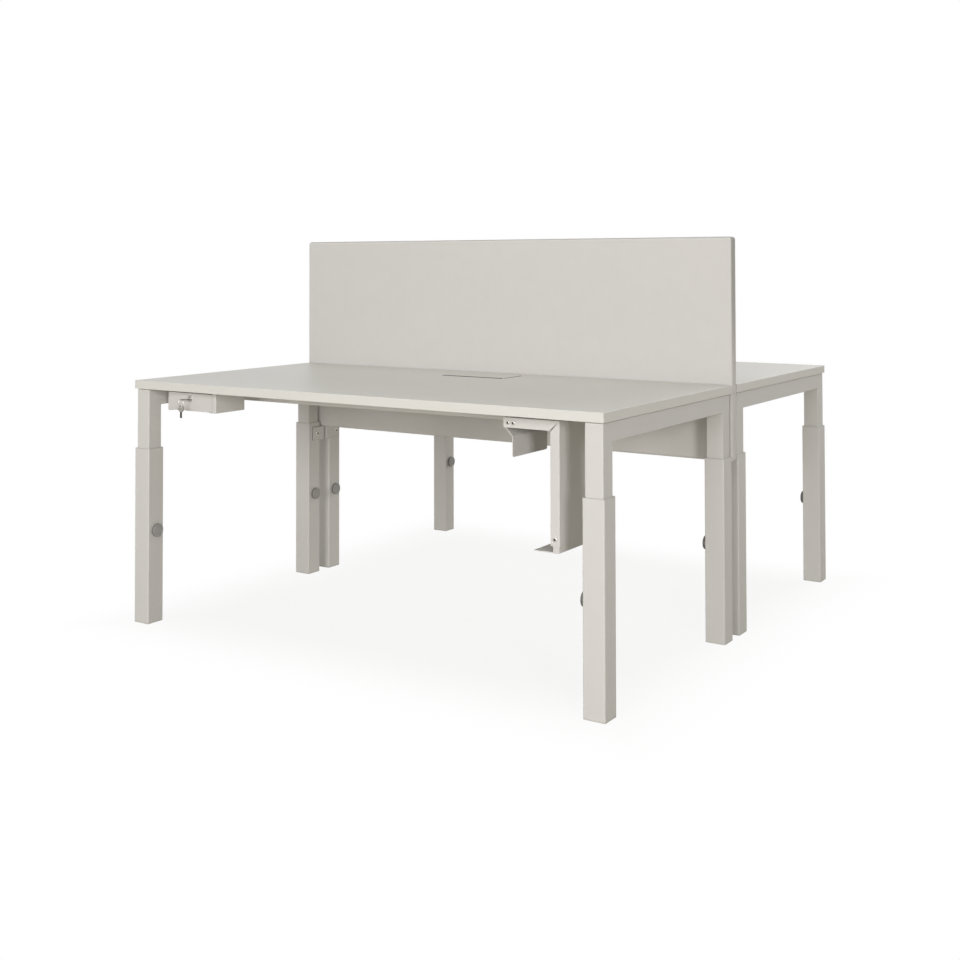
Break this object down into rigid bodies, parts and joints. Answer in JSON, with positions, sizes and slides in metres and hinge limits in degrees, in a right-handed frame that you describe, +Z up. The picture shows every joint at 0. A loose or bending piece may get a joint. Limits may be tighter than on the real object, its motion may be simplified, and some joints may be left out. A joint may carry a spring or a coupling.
{
  "type": "benching desk for two",
  "caption": "Facing height-adjustable desks on telescopic square legs with clamp knobs, an upholstered screen between them, cable flaps, a lockable drawer and a computer holder.",
  "frame": {"origin": "on the floor under the middle of the screen", "axes": "+X along the screen, +Y from the near desk to the far desk, +Z up"},
  "size_m": [1.6, 1.6468, 1.16],
  "materials": {
    "powder_coat": "fine satin powder coat",
    "melamine_board": "matt melamine-faced chipboard",
    "screen_cloth": "smooth stretched cloth over a board",
    "pale_nylon": "matt",
    "grey_nylon": "matt",
    "nickel": "polished nickel"
  },
  "bodies": {
    "base": {"lower_leg_near_outer_left": "powder_coat", "foot_near_outer_left": "pale_nylon", "guide_bush_near_outer_left": "pale_nylon", "lower_leg_near_inner_left": "powder_coat", "foot_near_inner_left": "pale_nylon", "guide_bush_near_inner_left": "pale_nylon", "lower_leg_far_inner_left": "powder_coat", "foot_far_inner_left": "pale_nylon", "guide_bush_far_inner_left": "pale_nylon", "lower_leg_far_outer_left": "powder_coat", "foot_far_outer_left": "pale_nylon", "guide_bush_far_outer_left": "pale_nylon", "lower_leg_near_outer_right": "powder_coat", "foot_near_outer_right": "pale_nylon", "guide_bush_near_outer_right": "pale_nylon", "lower_leg_near_inner_right": "powder_coat", "foot_near_inner_right": "pale_nylon", "guide_bush_near_inner_right": "pale_nylon", "lower_leg_far_inner_right": "powder_coat", "foot_far_inner_right": "pale_nylon", "guide_bush_far_inner_right": "pale_nylon", "lower_leg_far_outer_right": "powder_coat", "foot_far_outer_right": "pale_nylon", "guide_bush_far_outer_right": "pale_nylon", "screen_panel": "screen_cloth", "link_bracket_left": "powder_coat", "link_bracket_right": "powder_coat"},
    "near_desk": {"worktop_near": "melamine_board", "portal_near_left": "powder_coat", "portal_near_right": "powder_coat", "front_rail_near": "powder_coat", "back_rail_near": "powder_coat", "flap_frame_near": "powder_coat", "drawer_housing": "powder_coat", "holder_mount": "powder_coat", "holder_frame": "powder_coat"},
    "far_desk": {"worktop_far": "melamine_board", "portal_far_left": "powder_coat", "portal_far_right": "powder_coat", "front_rail_far": "powder_coat", "back_rail_far": "powder_coat", "flap_frame_far": "powder_coat"},
    "knob_near_outer_left": {"clamp_knob_near_outer_left": "grey_nylon"},
    "knob_near_inner_left": {"clamp_knob_near_inner_left": "grey_nylon"},
    "knob_far_inner_left": {"clamp_knob_far_inner_left": "grey_nylon"},
    "knob_far_outer_left": {"clamp_knob_far_outer_left": "grey_nylon"},
    "knob_near_outer_right": {"clamp_knob_near_outer_right": "grey_nylon"},
    "knob_near_inner_right": {"clamp_knob_near_inner_right": "grey_nylon"},
    "knob_far_inner_right": {"clamp_knob_far_inner_right": "grey_nylon"},
    "knob_far_outer_right": {"clamp_knob_far_outer_right": "grey_nylon"},
    "near_flap": {"flap_lid_near": "melamine_board"},
    "far_flap": {"flap_lid_far": "melamine_board"},
    "drawer": {"drawer_tray": "powder_coat", "lock_barrel": "nickel"},
    "lock": {"lock_plug": "nickel", "key": "nickel"},
    "key_bunch": {"key_ring": "nickel", "spare_key": "nickel"},
    "holder_hook": {"holder_hook": "powder_coat"},
    "holder_shelf": {"holder_shelf": "powder_coat"}
  },
  "joints": [
    {"name": "near_lift", "type": "slide", "parent": "base", "child": "near_desk", "axis": [0, 0, 1], "range_m": [-0.08, 0.12]},
    {"name": "far_lift", "type": "slide", "parent": "base", "child": "far_desk", "axis": [0, 0, 1], "range_m": [-0.08, 0.12]},
    {"name": "knob_turn_near_outer_left", "type": "hinge", "parent": "base", "child": "knob_near_outer_left", "pos_m": [-0.77, -0.79, 0.2775], "axis": [1, 0, 0], "range_deg": [0, 360]},
    {"name": "knob_turn_near_inner_left", "type": "hinge", "parent": "base", "child": "knob_near_inner_left", "pos_m": [-0.77, -0.055, 0.2775], "axis": [1, 0, 0], "range_deg": [0, 360]},
    {"name": "knob_turn_far_inner_left", "type": "hinge", "parent": "base", "child": "knob_far_inner_left", "pos_m": [-0.77, 0.055, 0.2775], "axis": [1, 0, 0], "range_deg": [0, 360]},
    {"name": "knob_turn_far_outer_left", "type": "hinge", "parent": "base", "child": "knob_far_outer_left", "pos_m": [-0.77, 0.79, 0.2775], "axis": [1, 0, 0], "range_deg": [0, 360]},
    {"name": "knob_turn_near_outer_right", "type": "hinge", "parent": "base", "child": "knob_near_outer_right", "pos_m": [0.77, -0.79, 0.2775], "axis": [-1, 0, 0], "range_deg": [0, 360]},
    {"name": "knob_turn_near_inner_right", "type": "hinge", "parent": "base", "child": "knob_near_inner_right", "pos_m": [0.77, -0.055, 0.2775], "axis": [-1, 0, 0], "range_deg": [0, 360]},
    {"name": "knob_turn_far_inner_right", "type": "hinge", "parent": "base", "child": "knob_far_inner_right", "pos_m": [0.77, 0.055, 0.2775], "axis": [-1, 0, 0], "range_deg": [0, 360]},
    {"name": "knob_turn_far_outer_right", "type": "hinge", "parent": "base", "child": "knob_far_outer_right", "pos_m": [0.77, 0.79, 0.2775], "axis": [-1, 0, 0], "range_deg": [0, 360]},
    {"name": "near_flap_hinge", "type": "hinge", "parent": "near_desk", "child": "near_flap", "pos_m": [0.012, -0.0798, 0.73], "axis": [-1, 0, 0], "range_deg": [0, 100]},
    {"name": "far_flap_hinge", "type": "hinge", "parent": "far_desk", "child": "far_flap", "pos_m": [-0.012, 0.0798, 0.73], "axis": [1, 0, 0], "range_deg": [0, 100]},
    {"name": "drawer_slide", "type": "slide", "parent": "near_desk", "child": "drawer", "axis": [0, -1, 0], "range_m": [0, 0.085]},
    {"name": "key_turn", "type": "hinge", "parent": "drawer", "child": "lock", "pos_m": [-0.60875, -0.7795, 0.68], "axis": [0, 1, 0], "range_deg": [-90, 0]},
    {"name": "spare_key_swing", "type": "hinge", "parent": "lock", "child": "key_bunch", "pos_m": [-0.60875, -0.8085, 0.68], "axis": [0, 1, 0], "range_deg": [-5, 20]},
    {"name": "hook_slide", "type": "slide", "parent": "near_desk", "child": "holder_hook", "axis": [1, 0, 0], "range_m": [-0.06, 0.03]},
    {"name": "shelf_slide", "type": "slide", "parent": "near_desk", "child": "holder_shelf", "axis": [0, 0, 1], "range_m": [-0.1, 0.06]}
  ]
}
